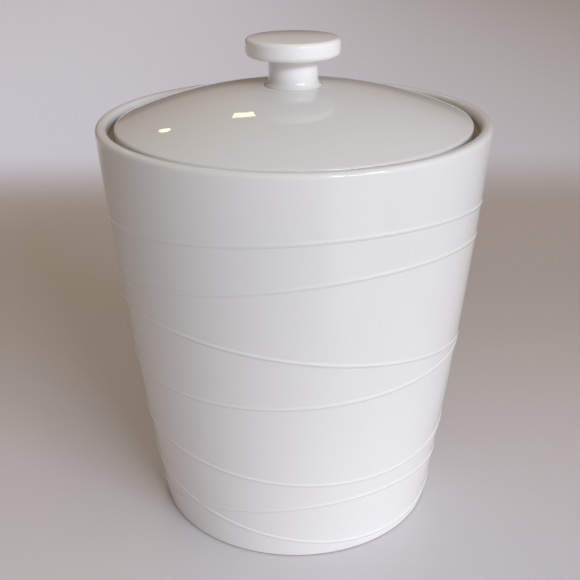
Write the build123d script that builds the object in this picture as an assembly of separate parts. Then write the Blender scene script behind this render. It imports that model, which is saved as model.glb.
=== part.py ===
from build123d import *
import os
from math import atan, degrees, sqrt

# Jar, outside
rim_radius = 85.0
base_radius = 65.6
body_height = 184.5
belly = 1.75
base_round = 1.1

# Jar, wall and floor
wall = 4.5
rim_wall = 5.1
rim_round = 2.1
floor_thickness = 6.0
floor_round = 12.0

# Foot ring that the jar stands on
foot_width = 4.6
foot_recess = 2.2
foot_round = 0.9

# Ledge inside the rim that carries the lid
seat_depth = 6.0
seat_width = 4.5
lip_thickness = 4.0
lip_slope_height = 7.0
lip_round = 1.2
under_lip_round = 6.0

# Raised lines that wander round the wall. The heights are shares of the wall, so the lines
# spread with it. Directions are degrees from the front, turning towards the right.
line_width = 1.5
line_proud = 0.5
line_root = 1.5
raised_lines = [
    # height share, tilt, tilt towards, bend, bend towards
    (0.795, 11.2, 10, 1.5, 51),
    (0.686, 14.6, 34, 1.1, 38),
    (0.511, 17.7, -38, 2.0, 96),
    (0.453, 2.7, 88, 0.6, 44),
    (0.263, 6.4, -146, 0.9, 127),
    (0.110, 14.6, -134, 0.7, 118),
    (0.093, 13.0, 35, 1.8, 19),
]
# The skin that the lines are cut from has its seam here, where no two lines cross
skin_seam = 145

# Lid
lid_gap = 3.0
lid_drop = 1.0
lid_wall = 4.5
dome_rise = 15.3
lid_edge_round = 1.2
lid_foot_round = 0.8

# Ring under the lid that drops into the mouth
ring_play = 1.7
ring_drop = 9.0
ring_wall = 4.2
ring_round = 1.6
ring_root_round = 4.0

# Knob. The rounds of the grip are shares of the height of its edge, so they always fit.
knob_radius = 20.2
knob_thickness = 8.4
knob_crown = 0.9
knob_top_share = 0.25
knob_under_share = 0.3
stem_radius = 10.5
stem_height = 12.1
stem_foot_flare = 2.1
stem_foot_rise = 3.0
stem_foot_edge = 0.2
stem_neck_round = 1.2
knob_hollow_radius = 5.0
knob_hollow_depth = 14.5

# Sizes that follow
rim_inner_radius = rim_radius - rim_wall
seat_z = body_height - seat_depth
lid_radius = rim_inner_radius - lid_gap
seat_radius = lid_radius - seat_width
lip_under_z = seat_z - lip_thickness
lip_slope_z = lip_under_z - lip_slope_height
ring_radius = seat_radius - ring_play
ring_inner_radius = ring_radius - ring_wall
stem_foot_radius = stem_radius + stem_foot_flare
dome_top = body_height - lid_drop + dome_rise
dome_radius = (lid_radius ** 2 + dome_rise ** 2) / (2 * dome_rise)
knob_edge = knob_thickness - knob_crown


def side_radius(z, outward=0.0):
    """Radius of the bellied side at a height, grown outward."""
    share = z / body_height
    straight = base_radius + (rim_radius - base_radius) * share
    return straight + 4 * belly * share * (1 - share) + outward


def side_arc(z_start, z_end, outward=0.0):
    """The side's curve between two heights, as one arc."""
    heights = (z_start, (z_start + z_end) / 2, z_end)
    return ThreePointArc(*[(side_radius(z, outward), z) for z in heights])


def dome_z(radius, sunk=0.0):
    """Height of the lid's dome at a radius, or of the dome sunk by a wall's thickness."""
    return dome_top - dome_radius + sqrt((dome_radius - sunk) ** 2 - radius ** 2)


def dome_arc(r_start, r_end, sunk=0.0):
    """The dome's curve between two radii, as one arc."""
    radii = (r_start, (r_start + r_end) / 2, r_end)
    return ThreePointArc(*[(r, dome_z(r, sunk)) for r in radii])


def turned(outline, rounds=()):
    """A solid turned about the upright axis from an outline of radius and height."""
    section = make_face(outline)
    for corner, radius in rounds:
        nearest = section.vertices().sort_by_distance(corner)[0]
        section = fillet(nearest, radius)
    return revolve(Plane.XZ * section, Axis.Z)


def runs(*points):
    """Straight edges through points, in order."""
    return [Line(a, b) for a, b in zip(points, points[1:])]


def line_sheet(height, tilt, towards, bend, bend_towards):
    """A thin sheet through the jar, tilted and slightly bent, which a raised line follows."""
    near = side_radius(height)
    reach = 1.3 * rim_radius
    lift = bend * (2 * (reach / near) ** 2 - 1)
    half = line_width / 2
    upper = ThreePointArc((-reach, lift + half), (0, half - bend), (reach, lift + half))
    lower = ThreePointArc((-reach, lift - half), (0, -half - bend), (reach, lift - half))
    ends = [Line((x, lift - half), (x, lift + half)) for x in (-reach, reach)]
    sheet = extrude(Plane.XZ * make_face([upper, lower] + ends), reach, both=True)
    sheet = Rot(Z=bend_towards - towards) * sheet
    sheet = Rot(Y=-degrees(atan(tilt / near))) * sheet
    return Pos(Z=height) * Rot(Z=towards - 90) * sheet


def line_sleeve():
    """The thin skin round the wall that the raised lines are cut from."""
    skin = turned(
        [side_arc(0, body_height, line_proud)]
        + runs((side_radius(body_height, line_proud), body_height),
               (side_radius(body_height, -line_root), body_height))
        + [side_arc(0, body_height, -line_root)]
        + runs((side_radius(0, -line_root), 0), (side_radius(0, line_proud), 0))
    )
    return Rot(Z=skin_seam - 90) * skin


def make_raised_lines():
    """Beads rooted in the wall, with lines that cross made as one bead."""
    sheets = Part() + [
        line_sheet(share * body_height, *course) for share, *course in raised_lines
    ]
    return (line_sleeve() & sheets).solids()


def make_jar():
    """Bellied wall, floor, foot ring and the ledge for the lid, with the raised lines."""
    foot_outer = base_radius
    foot_inner = base_radius - base_round - foot_width
    outline = (
        [side_arc(0, body_height)]
        + runs(
            (rim_radius, body_height),
            (rim_inner_radius, body_height),
            (rim_inner_radius, seat_z),
            (seat_radius, seat_z),
            (seat_radius, lip_under_z),
            (side_radius(lip_slope_z, -wall), lip_slope_z),
        )
        + [side_arc(floor_thickness, lip_slope_z, -wall)]
        + runs(
            (side_radius(floor_thickness, -wall), floor_thickness),
            (0, floor_thickness),
            (0, foot_recess),
            (foot_inner, foot_recess),
            (foot_inner, 0),
            (foot_outer, 0),
        )
    )
    rounds = [
        ((rim_radius, body_height), rim_round),
        ((rim_inner_radius, body_height), rim_round),
        ((rim_inner_radius, seat_z), lip_round),
        ((seat_radius, seat_z), lip_round),
        ((seat_radius, lip_under_z), lip_round),
        ((side_radius(lip_slope_z, -wall), lip_slope_z), under_lip_round),
        ((side_radius(floor_thickness, -wall), floor_thickness), floor_round),
        ((foot_inner, foot_recess), foot_round),
        ((foot_inner, 0), foot_round),
        ((foot_outer, 0), base_round),
    ]
    jar = turned(outline, rounds)
    for bead in make_raised_lines():
        jar = jar + bead
    return jar


def make_lid():
    """Shallow dome with a rounded edge, a ring under it and a flat pad for the knob."""
    pad_z = dome_z(stem_foot_radius)
    ring_foot_z = seat_z - ring_drop
    outline = (
        [dome_arc(stem_foot_radius, lid_radius)]
        + runs(
            (lid_radius, dome_z(lid_radius)),
            (lid_radius, seat_z),
            (ring_radius, seat_z),
            (ring_radius, ring_foot_z),
            (ring_inner_radius, ring_foot_z),
            (ring_inner_radius, dome_z(ring_inner_radius, lid_wall)),
        )
        + [dome_arc(knob_hollow_radius, ring_inner_radius, lid_wall)]
        + runs(
            (knob_hollow_radius, dome_z(knob_hollow_radius, lid_wall)),
            (knob_hollow_radius, pad_z),
            (stem_foot_radius, pad_z),
        )
    )
    rounds = [
        ((lid_radius, dome_z(lid_radius)), lid_edge_round),
        ((lid_radius, seat_z), lid_foot_round),
        ((ring_radius, seat_z), lid_foot_round),
        ((ring_radius, ring_foot_z), ring_round),
        ((ring_inner_radius, ring_foot_z), ring_round),
        ((ring_inner_radius, dome_z(ring_inner_radius, lid_wall)), ring_root_round),
    ]
    return turned(outline, rounds)


def make_knob():
    """Flat round grip on a stem that flares where it meets the lid, hollow up the middle."""
    foot_z = dome_z(stem_foot_radius)
    under_z = foot_z + stem_height
    top_z = under_z + knob_thickness
    hollow_z = foot_z + knob_hollow_depth
    flare_top = (stem_radius, foot_z + stem_foot_edge + stem_foot_rise)
    flare_foot = (stem_foot_radius, foot_z + stem_foot_edge)
    flare = TangentArc(flare_top, flare_foot, tangent=(0, -1))
    crown = ThreePointArc(
        (0, top_z),
        (knob_radius / 2, top_z - knob_crown / 4),
        (knob_radius, top_z - knob_crown),
    )
    hollow_end = ThreePointArc(
        (0, hollow_z),
        (knob_hollow_radius * sqrt(0.5), hollow_z - knob_hollow_radius * (1 - sqrt(0.5))),
        (knob_hollow_radius, hollow_z - knob_hollow_radius),
    )
    outline = (
        [crown]
        + runs(
            (knob_radius, top_z - knob_crown),
            (knob_radius, under_z),
            (stem_radius, under_z),
            flare_top,
        )
        + [flare]
        + runs(
            flare_foot,
            (stem_foot_radius, foot_z),
            (knob_hollow_radius, foot_z),
            (knob_hollow_radius, hollow_z - knob_hollow_radius),
        )
        + [hollow_end]
        + runs((0, hollow_z), (0, top_z))
    )
    rounds = [
        ((knob_radius, top_z - knob_crown), knob_top_share * knob_edge),
        ((knob_radius, under_z), knob_under_share * knob_edge),
        ((stem_radius, under_z), stem_neck_round),
    ]
    return turned(outline, rounds)


os.makedirs("parts", exist_ok=True)
pieces = {"jar": make_jar(), "lid": make_lid(), "knob": make_knob()}
for name, piece in pieces.items():
    export_step(piece, f"parts/{name}.step")
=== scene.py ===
from math import atan2, cos, hypot, pi, radians, sin, sqrt, tan

import bmesh
import bpy
from bpy.props import FloatProperty, FloatVectorProperty, IntProperty, PointerProperty
from mathutils import Matrix, Vector


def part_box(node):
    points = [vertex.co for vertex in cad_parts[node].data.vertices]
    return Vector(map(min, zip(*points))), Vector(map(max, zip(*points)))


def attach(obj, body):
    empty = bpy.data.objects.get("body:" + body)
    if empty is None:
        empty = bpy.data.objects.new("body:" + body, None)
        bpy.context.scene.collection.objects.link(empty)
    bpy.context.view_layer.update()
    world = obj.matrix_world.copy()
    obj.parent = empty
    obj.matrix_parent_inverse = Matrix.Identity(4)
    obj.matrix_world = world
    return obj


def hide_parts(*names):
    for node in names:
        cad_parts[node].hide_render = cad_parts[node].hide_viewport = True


bl_info = {
    "name": "Ceramic Canister",
    "version": (1, 0, 0),
    "blender": (4, 5, 0),
    "location": "3D View > Sidebar > Canister",
    "description": "Makes a glazed canister with raised lines, its lid and its knob",
    "category": "Object",
}

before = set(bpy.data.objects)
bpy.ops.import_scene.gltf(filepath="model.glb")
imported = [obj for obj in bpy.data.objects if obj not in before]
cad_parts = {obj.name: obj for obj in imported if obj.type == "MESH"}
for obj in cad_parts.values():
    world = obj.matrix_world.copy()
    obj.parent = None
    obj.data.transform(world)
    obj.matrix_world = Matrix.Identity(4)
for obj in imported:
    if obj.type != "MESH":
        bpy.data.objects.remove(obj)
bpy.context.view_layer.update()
jar_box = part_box("jar")
lid_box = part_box("lid")
knob_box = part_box("knob")

MM = 0.001

# Courses of the raised lines round the wall: height as a share of the wall, tilt and the
# direction it rises towards, bend and its direction. Millimetres, and degrees from the front
# turning towards the right.
RAISED_LINES = [
    (0.795, 11.2, 10, 1.5, 51),
    (0.686, 14.6, 34, 1.1, 38),
    (0.511, 17.7, -38, 2.0, 96),
    (0.453, 2.7, 88, 0.6, 44),
    (0.263, 6.4, -146, 0.9, 127),
    (0.110, 14.6, -134, 0.7, 118),
    (0.093, 13.0, 35, 1.8, 19),
]

# Direction in which the raised lines stand out most, in degrees from the front towards the
# right, and half the share of their height that they lose on the other side.
LINE_FULLEST = 25
LINE_FADE = 0.14

# Longest edge in the outline of each turned piece.
JAR_EDGE = 5.0 * MM
LID_EDGE = 3.0 * MM
KNOB_EDGE = 2.5 * MM

# Heights between which the white of the glaze changes. On the jar and its raised lines a lighter
# white low down, painted light that stands in for light thrown up from the floor, turns into the
# plain white higher up; on the knob, counted from its foot, the lid's white turns into the knob's
# lighter white, also painted light.
PAINTED_BOUNCE_LIGHT = (-20.0 * MM, 160.0 * MM)
KNOB_PAINTED_LIGHT = (1.0 * MM, 7.0 * MM)

# Where bare clay and glaze meet, from start to end of the change: up from the foot, out to its
# inner edge, up to the ledge, up to the rim and out from its inner edge, and on the lid up from
# its seat and out from its ring. On the ledge and the wall above it, in the gap under the lid,
# the clay's dark tone is also painted shade.
FOOT_UP = (0.4 * MM, 0.7 * MM)
FOOT_OUT = (-0.9 * MM, -0.6 * MM)
LEDGE_CLAY_SHADE_UP = (-0.4 * MM, -0.1 * MM)
RIM_CLAY_SHADE_UP = (-3.8 * MM, -2.6 * MM)
RIM_CLAY_SHADE_OUT = (0.5 * MM, 1.0 * MM)
LID_UP = (0.2 * MM, 0.5 * MM)
LID_OUT = (0.2 * MM, 0.5 * MM)

# How fine the marks in the glaze and the clay's grain are, as the scale of their noise.
PATCH_SCALE = 14.0
SMEAR_SCALE = 30.0
RIPPLE_SCALE = 120.0
FINE_RIPPLE_SCALE = 420.0
GRAIN_SCALE = 900.0

# Values of the noise between which a patch comes in.
PATCH_EDGES = (0.40, 0.66)

# How strongly the marks show: the patches and the grain in the colour, the fine ripple beside
# the broad one, the grain beside both, and the smears and the clay in the roughness.
PATCH_SHARE = 0.6
GRAIN_SHARE = 0.04
FINE_RIPPLE_SHARE = 0.25
GRAIN_HEIGHT = 4.0
SMEAR_ROUGHNESS = 0.015
CLAY_ROUGHNESS = 0.6

# The camera stands in front and looks down a little. Place in metres, turns in radians, lens
# and sensor in millimetres.
CAMERA_PLACE = (0.0, -0.3860, 0.27677)
CAMERA_DOWN = 0.4251
CAMERA_TURN = 0.0058
CAMERA_ROLL = -0.0093
LENS_LENGTH = 55.862
SENSOR_WIDTH = 36.0

# Half the floor's width, and the places between which its tone shifts: going back, to the rear
# floor's painted shade and to the backdrop, and going right, to the backdrop's shaded side. All in
# metres.
FLOOR_HALF_WIDTH = 4.0
REAR_SHADE = (-0.12, 0.26)
BACKDROP = (0.40, 0.62)
SHADED_SIDE = (-0.5, 0.9)

# How rough the floor is, how much that varies, and how much rougher the backdrop is.
FLOOR_ROUGHNESS = 0.22
FLOOR_MOTTLE = 0.06
MOTTLE_SCALE = 9.0
BACKDROP_ROUGHNESS = 0.6

# Soft light from all round: direction it comes from in degrees from the front towards the
# right, height above the floor in degrees, how tight it is, and its strength in red, green
# and blue.
SOFT_LIGHTS = [
    (45, 15, 8.0, (1.18, 1.24, 1.20)),
    (34, 5, 4.0, (0.47, 0.26, 0.06)),
    (180, 0, 4.0, (0.27, 0.19, 0.16)),
    (-135, 45, 8.0, (0.42, 0.36, 0.28)),
    (0, 90, 24.0, (0.48, 0.48, 0.48)),
]

# The dim band low behind the canister: its colour and share, and the backward and the upward
# part of a direction, over which the band comes in and goes out.
DIM_COLOUR = (0.10, 0.08, 0.06)
DIM_SHARE = 0.8
DIM_BACK = (0.70, 0.92)
DIM_TOP = (0.07, 0.17)

# The height that all lamps face.
LAMP_AIM = 190.0 * MM

# The window: for each column of panes its direction and the watts of a pane, and for all panes
# the rows, elevation, distance, size, spacing and colour. Metres, and degrees as above.
WINDOW_ROWS = (1, 2, 3)
MIDDLE_ROW = 2
WINDOW_COLUMNS = [(27.0, 9.4), (44.0, 6.6)]
WINDOW_ELEVATION = 24.4
WINDOW_DISTANCE = 3.0
PANE_SIZE = (0.74, 0.085)
PANE_SPACING = 0.125
DAYLIGHT = (0.69, 0.80, 1.0)

# The ceiling lamps: side, direction, elevation, distance, size, watts, lean and shape, and the
# colour of both.
CEILING_LAMPS = [
    ("left", -156.25, 28.36, 2.485, (0.066, 0.132), 0.11, 6.4, "ELLIPSE"),
    ("right", -170.6, 34.3, 2.476, (0.19, 0.11), 0.30, -24.0, "RECTANGLE"),
]
LAMPLIGHT = (1.0, 0.97, 0.62)


def length(name, description, default_mm, smallest_mm=0.1):
    """A length in millimetres as a property in metres."""
    return FloatProperty(
        name=name,
        description=description,
        default=default_mm * MM,
        min=smallest_mm * MM,
        unit="LENGTH",
        precision=4,
    )


def tint(name, description, default):
    """A colour as a property."""
    return FloatVectorProperty(
        name=name, description=description, default=default, min=0.0, max=1.0, subtype="COLOR"
    )


class JarSizes(bpy.types.PropertyGroup):
    rim_radius: length("Rim radius", "Outer radius of the wall at the rim", 85.0)
    base_radius: length("Base radius", "Outer radius of the wall at the floor", 65.6)
    body_height: length("Height", "Height of the jar to its rim", jar_box[1].z / MM)
    belly: length("Belly", "How far the side bulges halfway up", 1.75)
    base_round: length("Base round", "Radius of the outer edge of the foot", 1.1)
    wall: length("Wall", "Thickness of the wall", 4.5)
    rim_wall: length("Rim wall", "Thickness of the wall at the rim", 5.1)
    rim_round: length("Rim round", "Radius of both edges of the rim", 2.1)
    floor_thickness: length("Floor", "Height of the inner floor", 6.0)
    floor_round: length("Floor round", "Radius where the floor meets the wall", 12.0)
    foot_width: length("Foot width", "Width of the flat ring that it stands on", 4.6)
    foot_recess: length("Foot recess", "Depth of the recess under the floor", 2.2)
    foot_round: length("Foot round", "Radius of the inner edge of the foot", 0.9)
    seat_depth: length("Seat depth", "Depth of the lid's ledge below the rim", 6.0)
    seat_radius: length("Seat radius", "Inner radius of the lid's ledge", 72.4)
    lip_thickness: length("Ledge thickness", "Thickness of the lid's ledge", 4.0)
    lip_slope: length("Ledge slope", "Height over which the ledge runs into the wall", 7.0)
    lip_round: length("Ledge round", "Radius of the ledge's edges", 1.2)
    under_lip_round: length("Under ledge round", "Radius where the ledge meets the wall", 6.0)


class LineSizes(bpy.types.PropertyGroup):
    half_width: length("Half width", "Half the width of a raised line at its root", 1.35)
    proud: length("Proud", "How far a raised line stands off the wall", 0.4)
    root: length("Root", "How deep a raised line reaches into the wall", 0.6)
    sink: length("Sink", "How deep the edges of a raised line lie in the wall", 0.03, 0.01)


class LidSizes(bpy.types.PropertyGroup):
    radius: length("Radius", "Outer radius of the lid", 76.9)
    dome_radius: length("Dome radius", "Radius of the ball that the dome is part of", 200.905)
    wall: length("Wall", "Thickness of the dome", 4.5)
    edge_round: length("Edge round", "Radius of the lid's upper edge", 1.2)
    foot_round: length("Foot round", "Radius of the small edges under the lid", 0.8)
    ring_radius: length("Ring radius", "Outer radius of the ring under the lid", 70.7)
    ring_wall: length("Ring wall", "Thickness of the ring under the lid", 4.2)
    ring_round: length("Ring round", "Radius of the ring's lower edges", 1.6)
    ring_root: length("Ring root", "Radius where the ring meets the dome", 4.0)
    hole_radius: length("Hole radius", "Radius of the hole up into the knob", 5.0)
    pad_radius: length("Pad radius", "Radius of the flat pad that carries the knob", 12.6)


class KnobSizes(bpy.types.PropertyGroup):
    radius: length("Radius", "Radius of the grip", 20.2)
    thickness: length("Thickness", "Thickness of the grip", 8.4)
    crown: length("Crown", "How far the top rises in the middle", 0.9)
    top_round: length("Top round", "Radius of the grip's upper edge", 1.875)
    under_round: length("Under round", "Radius of the grip's lower edge", 2.25)
    stem_radius: length("Stem radius", "Radius of the stem", 10.5)
    neck_round: length("Neck round", "Radius where the stem meets the grip", 1.2)
    flare: length("Flare", "How far the stem spreads where it meets the lid", 2.3)
    flare_rise: length("Flare rise", "Height over which the stem spreads", 4.0)
    sink: length("Sink", "How deep the edge of the spread stem lies in the lid", 0.05, 0.01)
    tuck: length("Tuck", "How far the stem draws in below that edge", 1.0)
    hollow_radius: length("Hollow radius", "Radius of the hollow in the stem", 5.0)
    hollow_depth: length("Hollow depth", "Depth of the hollow in the stem", 14.5)
    hollow_round: length("Hollow round", "Radius of the edge of the hollow's end", 4.8)


class GlazeLook(bpy.types.PropertyGroup):
    glaze: tint("Glaze", "Colour of the glaze", (0.77, 0.77, 0.765))
    cool: tint("Cool glaze", "Colour where the glaze lies a little thicker", (0.75, 0.765, 0.775))
    # The lighter white low on the jar is painted light, standing in for light thrown up from the
    # floor.
    low: tint(
        "Low glaze", "Colour where the glaze has run down and is thickest", (0.92, 0.92, 0.93)
    )
    thin: tint("Thin glaze", "Colour where the glaze thins over an edge", (0.82, 0.79, 0.75))
    # The knob's lighter white is painted light that makes the knob and its stem brighter.
    knob: tint("Knob glaze", "Colour of the thicker glaze on the knob", (0.92, 0.92, 0.92))
    # Dark bare clay: the foot ring shows it as the clay's own colour, and in the gap under the lid
    # its dark tone is also painted shade.
    clay: tint("Bare clay", "Colour of the unglazed clay", (0.46, 0.37, 0.29))
    gloss: FloatProperty(
        name="Roughness",
        description="Roughness of the glaze",
        default=0.01,
        min=0.0,
        max=1.0,
        subtype="FACTOR",
    )
    ripple: length("Ripple", "Height of the ripple in the glaze", 0.02, 0.0)


class StageLook(bpy.types.PropertyGroup):
    floor: tint("Floor", "Colour of the floor in front", (0.75, 0.73, 0.77))
    # The rear floor's darker, browner colour is painted shade around and behind the canister.
    painted_rear_shade: tint("Rear floor", "Colour of the floor behind the canister", (0.56, 0.51, 0.49))
    backdrop: tint("Backdrop", "Colour of the backdrop's lit side", (0.96, 0.92, 1.00))
    shaded: tint("Shaded backdrop", "Colour of the backdrop's shaded side", (0.58, 0.57, 0.58))
    glow: tint("Backdrop glow", "Light from the backdrop's lit side", (0.06, 0.09, 0.15))


class Canister(bpy.types.PropertyGroup):
    jar: PointerProperty(type=JarSizes, name="Jar", description="Sizes of the jar")
    lines: PointerProperty(type=LineSizes, name="Lines", description="Sizes of the raised lines")
    lid: PointerProperty(type=LidSizes, name="Lid", description="Sizes of the lid")
    knob: PointerProperty(type=KnobSizes, name="Knob", description="Sizes of the knob")
    glaze: PointerProperty(type=GlazeLook, name="Glaze", description="Look of the glaze")
    stage: PointerProperty(type=StageLook, name="Stage", description="Look of the stage")
    turns: IntProperty(
        name="Turning steps",
        description="Steps in a full turn of a turned piece",
        default=256,
        min=32,
        max=512,
    )


class Value:
    """A socket whose sums, products and powers add Math nodes to its own tree."""

    def __init__(self, tree, socket):
        self.tree = tree
        self.socket = socket

    def __add__(self, other):
        return self.tree.math("ADD", self, other)

    def __radd__(self, other):
        return self.tree.math("ADD", other, self)

    def __sub__(self, other):
        return self.tree.math("SUBTRACT", self, other)

    def __rsub__(self, other):
        return self.tree.math("SUBTRACT", other, self)

    def __mul__(self, other):
        return self.tree.math("MULTIPLY", self, other)

    def __rmul__(self, other):
        return self.tree.math("MULTIPLY", other, self)

    def __pow__(self, other):
        return self.tree.math("POWER", self, other)

    def __rpow__(self, other):
        return self.tree.math("POWER", other, self)


class NodeTree:
    """Builds the nodes of one material or world."""

    def __init__(self, owner):
        owner.use_nodes = True
        self.tree = owner.node_tree
        self.tree.nodes.clear()

    def node(self, kind, settings=None, inputs=None):
        node = self.tree.nodes.new("ShaderNode" + kind)
        for name, value in (settings or {}).items():
            setattr(node, name, value)
        for name, value in (inputs or {}).items():
            socket = node.inputs[name]
            if isinstance(value, Value):
                self.tree.links.new(value.socket, socket)
            else:
                socket.default_value = value
        return node

    def out(self, node, name=0):
        return Value(self, node.outputs[name])

    def math(self, operation, *values):
        node = self.node("Math", {"operation": operation}, dict(enumerate(values)))
        return self.out(node)

    def step(self, value, start, end, past=0.0):
        """0 below start, 1 above end, and smooth between them, both counted from past."""
        node = self.node(
            "MapRange",
            {"interpolation_type": "SMOOTHSTEP"},
            {"Value": value, "From Min": past + start, "From Max": past + end},
        )
        return self.out(node)

    def blend(self, factor, first, second):
        """The first colour where the factor is 0, and the second where it is 1."""
        node = self.node("Mix", {"data_type": "RGBA"}, {0: factor, 6: first, 7: second})
        return self.out(node, 2)

    def noise(self, place, scale, detail=2.0, roughness=0.5):
        node = self.node(
            "TexNoise",
            {},
            {"Vector": place, "Scale": scale, "Detail": detail, "Roughness": roughness},
        )
        return self.out(node)


def colour(rgb):
    """A colour as the four numbers of a socket."""
    return (*rgb, 1.0)


def glazed_all_over(tree, radius, z):
    """The mask of a piece that shows no bare clay."""
    return 0.0


def glazed_clay(name, look, bare, lower, upper, start, end):
    """Glossy glaze that changes from one white to another between two heights, with bare clay
    where the mask made by bare(tree, radius, z) is 1. The lighter white low on the jar and on
    the knob is painted light, and the clay's dark tone in the jar's gap is also painted shade."""
    material = bpy.data.materials.new(name)
    tree = NodeTree(material)
    place = tree.out(tree.node("TexCoord"), "Object")
    axes = tree.node("SeparateXYZ", {}, {"Vector": place})
    x, y, z = (tree.out(axes, axis) for axis in "XYZ")
    radius = tree.math("SQRT", x * x + y * y)

    clay = bare(tree, radius, z)
    patches = tree.step(tree.noise(place, PATCH_SCALE, 3.0), *PATCH_EDGES)
    grain = tree.noise(place, GRAIN_SCALE, 2.0)
    shade = tree.blend(patches * PATCH_SHARE, colour(upper), colour(look.cool))
    # A lighter white low on the jar and its lines, and on the knob above its foot, is painted
    # light.
    shade = tree.blend(1.0 - tree.step(z, start, end), shade, colour(lower))
    shade = tree.blend(grain * GRAIN_SHARE, shade, colour(look.thin))
    # Bare clay, whose dark tone in the jar's gap is also painted shade.
    shade = tree.blend(clay, shade, colour(look.clay))

    fine = tree.noise(place, FINE_RIPPLE_SCALE, 0.0)
    ripple = tree.noise(place, RIPPLE_SCALE, 1.0) + fine * FINE_RIPPLE_SHARE
    height = ripple * (1.0 - clay) + grain * clay * GRAIN_HEIGHT
    bump = tree.node("Bump", {}, {"Strength": 1.0, "Distance": look.ripple, "Height": height})
    smear = tree.noise(place, SMEAR_SCALE, 3.0)
    rough = look.gloss + smear * SMEAR_ROUGHNESS + clay * CLAY_ROUGHNESS
    surface = tree.node(
        "BsdfPrincipled",
        {},
        {
            "Base Color": shade,
            "Roughness": rough,
            "IOR": 1.5,
            "Normal": tree.out(bump),
        },
    )
    tree.node("OutputMaterial", {}, {"Surface": tree.out(surface)})
    return material


def outline(corners, closed=False):
    """Edges through corners given as radius and height."""
    mesh = bmesh.new()
    points = [mesh.verts.new((radius, 0.0, height)) for radius, height in corners]
    for first, second in zip(points, points[1:]):
        mesh.edges.new((first, second))
    if closed:
        mesh.edges.new((points[-1], points[0]))
    return mesh


def point_at(mesh, corner):
    """The point of the outline nearest to a corner."""
    place = Vector((corner[0], 0.0, corner[1]))
    return min(mesh.verts, key=lambda point: (point.co - place).length)


def curve_run(mesh, first, second, cuts, follow):
    """Divide the edge between two corners and move its new points onto a curve."""
    edge = mesh.edges.get((point_at(mesh, first), point_at(mesh, second)))
    made = bmesh.ops.subdivide_edges(mesh, edges=[edge], cuts=cuts)["geom_inner"]
    for point in made:
        if isinstance(point, bmesh.types.BMVert):
            follow(point.co)


def round_corner(mesh, place, radius, segments=8):
    """Turn a corner of the outline into an arc of this radius."""
    corner = point_at(mesh, place)
    ways = [(edge.other_vert(corner).co - corner.co) for edge in corner.link_edges]
    turn = pi - ways[0].angle(ways[1])
    bmesh.ops.bevel(
        mesh,
        geom=[corner],
        offset=radius * tan(turn / 2),
        offset_type="OFFSET",
        affect="VERTICES",
        segments=segments,
        profile=0.5,
        material=-1,
    )


def divide_long(mesh, longest):
    """Divide edges so that none is longer than this."""
    for edge in mesh.edges[:]:
        cuts = int(edge.calc_length() / longest)
        if cuts:
            bmesh.ops.subdivide_edges(mesh, edges=[edge], cuts=cuts)


def turn_round(mesh, steps):
    """Turn an outline about the upright axis into a closed surface."""
    bmesh.ops.spin(
        mesh,
        geom=mesh.verts[:] + mesh.edges[:],
        cent=(0.0, 0.0, 0.0),
        axis=(0.0, 0.0, 1.0),
        angle=2 * pi,
        steps=steps,
        use_merge=True,
    )
    bmesh.ops.remove_doubles(mesh, verts=mesh.verts[:], dist=1e-7)
    bmesh.ops.recalc_face_normals(mesh, faces=mesh.faces[:])


def finish_piece(mesh, name, body, material):
    """Make an object of a mesh, riding on its body with its finish."""
    for face in mesh.faces:
        face.smooth = True
    data = bpy.data.meshes.new(name)
    mesh.to_mesh(data)
    mesh.free()
    data.materials.append(material)
    piece = bpy.data.objects.new(name, data)
    bpy.context.scene.collection.objects.link(piece)
    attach(piece, body)
    return piece


def side_radius(sizes, height):
    """Radius of the bellied side at a height."""
    share = height / sizes.body_height
    straight = sizes.base_radius + (sizes.rim_radius - sizes.base_radius) * share
    return straight + 4 * sizes.belly * share * (1 - share)


def dome_height(sizes, radius, sunk=0.0):
    """Height of the lid's dome at a radius, or of the dome sunk by a wall's thickness."""
    centre = lid_box[1].z - sqrt(sizes.dome_radius**2 - sizes.pad_radius**2)
    return centre + sqrt((sizes.dome_radius - sunk) ** 2 - radius**2)


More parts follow.
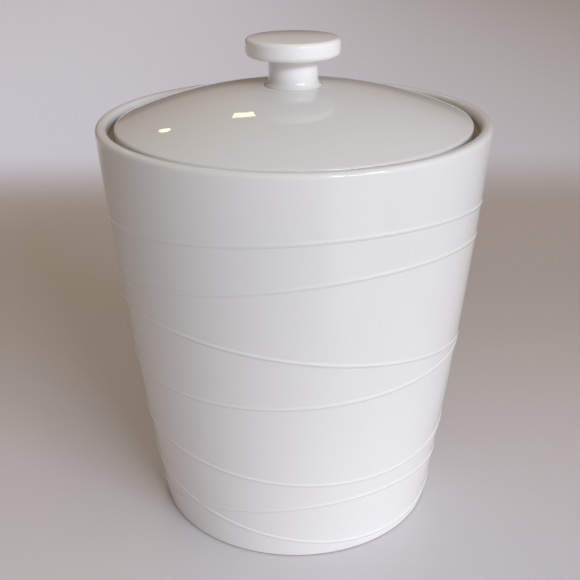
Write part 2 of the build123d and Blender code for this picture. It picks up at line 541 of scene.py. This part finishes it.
class CANISTER_OT_jar(bpy.types.Operator):
    """Make the jar, with its bellied wall, foot ring and the ledge that carries the lid"""

    bl_idname = "canister.make_jar"
    bl_label = "Make jar"

    def execute(self, context):
        canister = context.scene.canister
        look = canister.glaze
        sizes = canister.jar
        top = sizes.body_height
        seat = top - sizes.seat_depth
        rim_inner = sizes.rim_radius - sizes.rim_wall
        under = seat - sizes.lip_thickness
        slope = under - sizes.lip_slope
        foot_inner = sizes.base_radius - sizes.base_round - sizes.foot_width
        floor = sizes.floor_thickness
        corners = [
            (0.0, floor),
            (side_radius(sizes, floor) - sizes.wall, floor),
            (side_radius(sizes, slope) - sizes.wall, slope),
            (sizes.seat_radius, under),
            (sizes.seat_radius, seat),
            (rim_inner, seat),
            (rim_inner, top),
            (sizes.rim_radius, top),
            (sizes.base_radius, 0.0),
            (foot_inner, 0.0),
            (foot_inner, sizes.foot_recess),
            (0.0, sizes.foot_recess),
        ]
        mesh = outline(corners)

        def follow_inside(co):
            co.x = side_radius(sizes, co.z) - sizes.wall

        def follow_outside(co):
            co.x = side_radius(sizes, co.z)

        curve_run(mesh, corners[1], corners[2], 10, follow_inside)
        curve_run(mesh, corners[7], corners[8], 50, follow_outside)
        rounds = [
            (1, sizes.floor_round, 12),
            (2, sizes.under_lip_round, 6),
            (3, sizes.lip_round, 6),
            (4, sizes.lip_round, 6),
            (5, sizes.lip_round, 6),
            (6, sizes.rim_round, 12),
            (7, sizes.rim_round, 12),
            (8, sizes.base_round, 10),
            (9, sizes.foot_round, 6),
            (10, sizes.foot_round, 6),
        ]
        for index, radius, segments in rounds:
            round_corner(mesh, corners[index], radius, segments)
        divide_long(mesh, JAR_EDGE)
        turn_round(mesh, canister.turns)

        # Bare clay on the foot ring, and on the ledge and the wall above it in the gap under the
        # lid, where its dark tone is also painted shade.
        def bare(tree, radius, z):
            low = 1.0 - tree.step(z, *FOOT_UP)
            foot = low * tree.step(radius, *FOOT_OUT, past=foot_inner)
            above = tree.step(z, *LEDGE_CLAY_SHADE_UP, past=seat)
            below = 1.0 - tree.step(z, *RIM_CLAY_SHADE_UP, past=top)
            in_gap = 1.0 - tree.step(radius, *RIM_CLAY_SHADE_OUT, past=rim_inner)
            return foot + above * below * in_gap

        # The jar's lighter white low down is painted light thrown up from the floor.
        painted_bounce_whites = (look.low, look.glaze, *PAINTED_BOUNCE_LIGHT)
        material = glazed_clay("jar_white_glaze", look, bare, *painted_bounce_whites)
        jar = finish_piece(mesh, "glazed_jar", "jar_body", material)
        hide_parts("jar")
        return {"FINISHED"}


class CANISTER_OT_raised_lines(bpy.types.Operator):
    """Make the raised lines that wander round the wall"""

    bl_idname = "canister.make_raised_lines"
    bl_label = "Make raised lines"

    def execute(self, context):
        canister = context.scene.canister
        jar = canister.jar
        sizes = canister.lines
        look = canister.glaze
        # The lines' lighter white low down is painted light thrown up from the floor.
        painted_bounce_whites = (look.low, look.glaze, *PAINTED_BOUNCE_LIGHT)
        material = glazed_clay("line_white_glaze", look, glazed_all_over, *painted_bounce_whites)
        steps = canister.turns * 3 // 2
        for number, (share, tilt, towards, bend, bend_towards) in enumerate(RAISED_LINES, 1):
            middle = share * jar.body_height
            near = side_radius(jar, middle)
            low, high = -sizes.half_width, sizes.half_width
            inner = near - sizes.root
            outer = near - sizes.sink
            corners = [(inner, low), (outer, low), (outer, high), (inner, high)]
            mesh = outline(corners, closed=True)

            def swell(co):
                across = cos(pi / 2 * co.z / sizes.half_width)
                co.x = outer + (sizes.proud + sizes.sink) * across**2

            curve_run(mesh, corners[1], corners[2], 9, swell)
            turn_round(mesh, steps)
            for point in mesh.verts:
                way = atan2(point.co.x, -point.co.y)
                off = hypot(point.co.x, point.co.y) - near
                if off > 0:
                    fullness = cos(way - radians(LINE_FULLEST))
                    off *= 1 - LINE_FADE + LINE_FADE * fullness
                rise = tilt * cos(way - radians(towards))
                rise += bend * cos(2 * (way - radians(bend_towards)))
                height = middle + rise * MM + point.co.z
                reach = side_radius(jar, height) + off
                point.co = (reach * sin(way), -reach * cos(way), height)
            bmesh.ops.recalc_face_normals(mesh, faces=mesh.faces[:])
            finish_piece(mesh, f"raised_line_{number}", "jar_body", material)
        return {"FINISHED"}


class CANISTER_OT_lid(bpy.types.Operator):
    """Make the lid, with its dome, its rounded edge and the ring that keeps it in place"""

    bl_idname = "canister.make_lid"
    bl_label = "Make lid"

    def execute(self, context):
        canister = context.scene.canister
        look = canister.glaze
        sizes = canister.lid
        pad = sizes.pad_radius
        pad_z = lid_box[1].z
        seat = canister.jar.body_height - canister.jar.seat_depth
        ring_foot = lid_box[0].z
        ring_inner = sizes.ring_radius - sizes.ring_wall
        corners = [
            (pad, pad_z),
            (sizes.radius, dome_height(sizes, sizes.radius)),
            (sizes.radius, seat),
            (sizes.ring_radius, seat),
            (sizes.ring_radius, ring_foot),
            (ring_inner, ring_foot),
            (ring_inner, dome_height(sizes, ring_inner, sizes.wall)),
            (sizes.hole_radius, dome_height(sizes, sizes.hole_radius, sizes.wall)),
            (sizes.hole_radius, pad_z),
        ]
        mesh = outline(corners, closed=True)

        def follow_top(co):
            co.z = dome_height(sizes, co.x)

        def follow_under(co):
            co.z = dome_height(sizes, co.x, sizes.wall)

        curve_run(mesh, corners[0], corners[1], 22, follow_top)
        curve_run(mesh, corners[6], corners[7], 12, follow_under)
        rounds = [
            (1, sizes.edge_round, 12),
            (2, sizes.foot_round, 6),
            (3, sizes.foot_round, 6),
            (4, sizes.ring_round, 6),
            (5, sizes.ring_round, 6),
            (6, sizes.ring_root, 8),
        ]
        for index, radius, segments in rounds:
            round_corner(mesh, corners[index], radius, segments)
        divide_long(mesh, LID_EDGE)
        turn_round(mesh, canister.turns)

        def bare(tree, radius, z):
            low = 1.0 - tree.step(z, *LID_UP, past=seat)
            return low * tree.step(radius, *LID_OUT, past=sizes.ring_radius)

        white = (look.glaze, look.glaze, seat, pad_z)
        material = glazed_clay("lid_white_glaze", look, bare, *white)
        lid = finish_piece(mesh, "glazed_lid", "lid_body", material)
        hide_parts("lid")
        return {"FINISHED"}


class CANISTER_OT_knob(bpy.types.Operator):
    """Make the knob, a flat round grip on a stem that flares into the lid"""

    bl_idname = "canister.make_knob"
    bl_label = "Make knob"

    def execute(self, context):
        canister = context.scene.canister
        look = canister.glaze
        sizes = canister.knob
        foot = knob_box[0].z
        top = knob_box[1].z
        under = top - sizes.thickness
        spread = sizes.stem_radius + sizes.flare
        meet = dome_height(canister.lid, spread) - sizes.sink
        hollow_end = foot + sizes.hollow_depth
        corners = [
            (0.0, top),
            (sizes.radius, top - sizes.crown),
            (sizes.radius, under),
            (sizes.stem_radius, under),
            (sizes.stem_radius, meet + sizes.flare_rise),
            (spread, meet),
            (spread - sizes.tuck, foot),
            (sizes.hollow_radius, foot),
            (sizes.hollow_radius, hollow_end),
            (0.0, hollow_end),
        ]
        mesh = outline(corners)

        def follow_crown(co):
            co.z = top - sizes.crown * (co.x / sizes.radius) ** 2

        def follow_flare(co):
            share = (co.z - meet) / sizes.flare_rise
            co.x = spread - sizes.flare * sqrt(max(0.0, 1 - (1 - share) ** 2))

        curve_run(mesh, corners[0], corners[1], 5, follow_crown)
        curve_run(mesh, corners[4], corners[5], 10, follow_flare)
        rounds = [
            (1, sizes.top_round, 12),
            (2, sizes.under_round, 12),
            (3, sizes.neck_round, 8),
            (8, sizes.hollow_round, 8),
        ]
        for index, radius, segments in rounds:
            round_corner(mesh, corners[index], radius, segments)
        divide_long(mesh, KNOB_EDGE)
        turn_round(mesh, canister.turns)

        # Above its foot the knob turns to its lighter white, which is painted light.
        white = (look.glaze, look.knob, *(foot + height for height in KNOB_PAINTED_LIGHT))
        material = glazed_clay("knob_white_glaze", look, glazed_all_over, *white)
        knob = finish_piece(mesh, "glazed_knob", "lid_body", material)
        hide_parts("knob")
        return {"FINISHED"}


class CANISTER_OT_stage(bpy.types.Operator):
    """Set the camera, the pale floor with its backdrop, and the soft light"""

    bl_idname = "canister.set_stage"
    bl_label = "Set stage"

    def execute(self, context):
        set_camera(context.scene)
        lay_floor(context.scene.canister.stage)
        light_softly(context.scene)
        return {"FINISHED"}


def set_camera(scene):
    """A camera in front of the canister, looking down a little."""
    lens = bpy.data.cameras.new("camera")
    lens.sensor_width = SENSOR_WIDTH
    lens.lens = LENS_LENGTH
    camera = bpy.data.objects.new("camera", lens)
    scene.collection.objects.link(camera)
    place = Matrix.Translation(CAMERA_PLACE)
    turn = Matrix.Rotation(CAMERA_TURN, 4, "Z")
    pitch = Matrix.Rotation(pi / 2 - CAMERA_DOWN, 4, "X")
    roll = Matrix.Rotation(CAMERA_ROLL, 4, "Z")
    camera.matrix_world = place @ turn @ pitch @ roll
    scene.camera = camera


def lay_floor(look):
    """A wide pale floor, darker and browner behind the canister with painted shade, whose tone
    shifts softly into a backdrop behind it.
    """
    mesh = bmesh.new()
    bmesh.ops.create_grid(mesh, x_segments=8, y_segments=8, size=FLOOR_HALF_WIDTH)
    data = bpy.data.meshes.new("floor")
    mesh.to_mesh(data)
    mesh.free()

    material = bpy.data.materials.new("pale_floor")
    tree = NodeTree(material)
    place = tree.out(tree.node("TexCoord"), "Object")
    axes = tree.node("SeparateXYZ", {}, {"Vector": place})
    across, back = tree.out(axes, "X"), tree.out(axes, "Y")
    behind = tree.step(back, *BACKDROP)
    # Going back, the floor darkens into painted shade.
    shade = tree.blend(tree.step(back, *REAR_SHADE), colour(look.floor), colour(look.painted_rear_shade))
    lit = 1.0 - tree.step(across, *SHADED_SIDE)
    wall = tree.blend(lit, colour(look.shaded), colour(look.backdrop))
    shade = tree.blend(behind, shade, wall)
    mottle = tree.noise(place, MOTTLE_SCALE) * FLOOR_MOTTLE
    rough = FLOOR_ROUGHNESS + mottle + behind * BACKDROP_ROUGHNESS
    surface = tree.node(
        "BsdfPrincipled",
        {},
        {
            "Base Color": shade,
            "Roughness": rough,
            "IOR": 1.45,
            "Emission Color": tree.blend(behind * lit, colour((0.0, 0.0, 0.0)), colour(look.glow)),
            "Emission Strength": 1.0,
        },
    )
    tree.node("OutputMaterial", {}, {"Surface": tree.out(surface)})
    data.materials.append(material)
    floor = bpy.data.objects.new("floor", data)
    bpy.context.scene.collection.objects.link(floor)


def heading(azimuth, elevation):
    """Unit vector towards a direction, in degrees from the front turning right, and up."""
    flat = cos(radians(elevation))
    return Vector(
        (flat * sin(radians(azimuth)), -flat * cos(radians(azimuth)), sin(radians(elevation)))
    )


def lamp(name, towards, distance, size, rgb, watts, raised=0.0, lean=0.0, shape="RECTANGLE"):
    """A flat lamp that faces the lid, raised in its own plane and turned by its lean."""
    light = bpy.data.lights.new(name, "AREA")
    light.shape = shape
    light.size, light.size_y = size
    light.color = rgb
    light.energy = watts
    item = bpy.data.objects.new(name, light)
    bpy.context.scene.collection.objects.link(item)
    place = Matrix.Translation(Vector((0.0, 0.0, LAMP_AIM)) + towards * distance)
    turn = towards.to_track_quat("Z", "Y").to_matrix().to_4x4()
    roll = Matrix.Rotation(radians(lean), 4, "Z")
    item.matrix_world = place @ turn @ roll @ Matrix.Translation((0.0, raised, 0.0))


def light_softly(scene):
    """Soft light from all round, a window's panes and two small warm ceiling lamps."""
    world = bpy.data.worlds.new("soft_room")
    scene.world = world
    tree = NodeTree(world)
    way = tree.out(tree.node("TexCoord"), "Generated")
    total = None
    for azimuth, elevation, tightness, rgb in SOFT_LIGHTS:
        dot = tree.node(
            "VectorMath",
            {"operation": "DOT_PRODUCT"},
            {0: way, 1: heading(azimuth, elevation)},
        )
        facing = tree.math("MAXIMUM", tree.out(dot, "Value") * 0.5 + 0.5, 0.0)
        glow = tree.node(
            "Background", {}, {"Color": colour(rgb), "Strength": facing**tightness}
        )
        if total is None:
            total = glow
        else:
            total = tree.node("AddShader", {}, {0: tree.out(total), 1: tree.out(glow)})
    axes = tree.node("SeparateXYZ", {}, {"Vector": way})
    behind = tree.step(tree.out(axes, "Y"), *DIM_BACK)
    low = 1.0 - tree.step(tree.out(axes, "Z"), *DIM_TOP)
    dim = tree.node("Background", {}, {"Color": colour(DIM_COLOUR), "Strength": 1.0})
    total = tree.node(
        "MixShader", {}, {0: behind * low * DIM_SHARE, 1: tree.out(total), 2: tree.out(dim)}
    )
    tree.node("OutputWorld", {}, {"Surface": tree.out(total)})

    for column, (azimuth, watts) in enumerate(WINDOW_COLUMNS, 1):
        towards = heading(azimuth, WINDOW_ELEVATION)
        for row in WINDOW_ROWS:
            name = f"window_pane_{column}_{row}"
            raised = (row - MIDDLE_ROW) * PANE_SPACING
            lamp(name, towards, WINDOW_DISTANCE, PANE_SIZE, DAYLIGHT, watts, raised=raised)
    for side, azimuth, elevation, distance, size, watts, lean, shape in CEILING_LAMPS:
        name = f"ceiling_lamp_{side}"
        towards = heading(azimuth, elevation)
        lamp(name, towards, distance, size, LAMPLIGHT, watts, lean=lean, shape=shape)
    scene.view_settings.view_transform = "Standard"


class CANISTER_PT_panel(bpy.types.Panel):
    """The canister's pieces and sizes"""

    bl_idname = "CANISTER_PT_panel"
    bl_label = "Ceramic Canister"
    bl_space_type = "VIEW_3D"
    bl_region_type = "UI"
    bl_category = "Canister"

    def draw(self, context):
        canister = context.scene.canister
        for operator in OPERATORS:
            self.layout.operator(operator.bl_idname)
        self.layout.prop(canister, "turns")
        for name in ("jar", "lines", "lid", "knob", "glaze", "stage"):
            box = self.layout.box()
            box.label(text=name.capitalize())
            group = getattr(canister, name)
            for prop in group.bl_rna.properties:
                if prop.identifier not in ("rna_type", "name"):
                    box.prop(group, prop.identifier)


OPERATORS = (
    CANISTER_OT_stage,
    CANISTER_OT_jar,
    CANISTER_OT_raised_lines,
    CANISTER_OT_lid,
    CANISTER_OT_knob,
)
CLASSES = (
    JarSizes,
    LineSizes,
    LidSizes,
    KnobSizes,
    GlazeLook,
    StageLook,
    Canister,
    *OPERATORS,
    CANISTER_PT_panel,
)


def register():
    for item in CLASSES:
        bpy.utils.register_class(item)
    bpy.types.Scene.canister = PointerProperty(
        type=Canister, name="Canister", description="Sizes and looks of the canister"
    )


def unregister():
    del bpy.types.Scene.canister
    for item in reversed(CLASSES):
        bpy.utils.unregister_class(item)


def main():
    register()
    bpy.ops.canister.set_stage()
    bpy.ops.canister.make_jar()
    bpy.ops.canister.make_raised_lines()
    bpy.ops.canister.make_lid()
    bpy.ops.canister.make_knob()


if __name__ == "__main__":
    main()
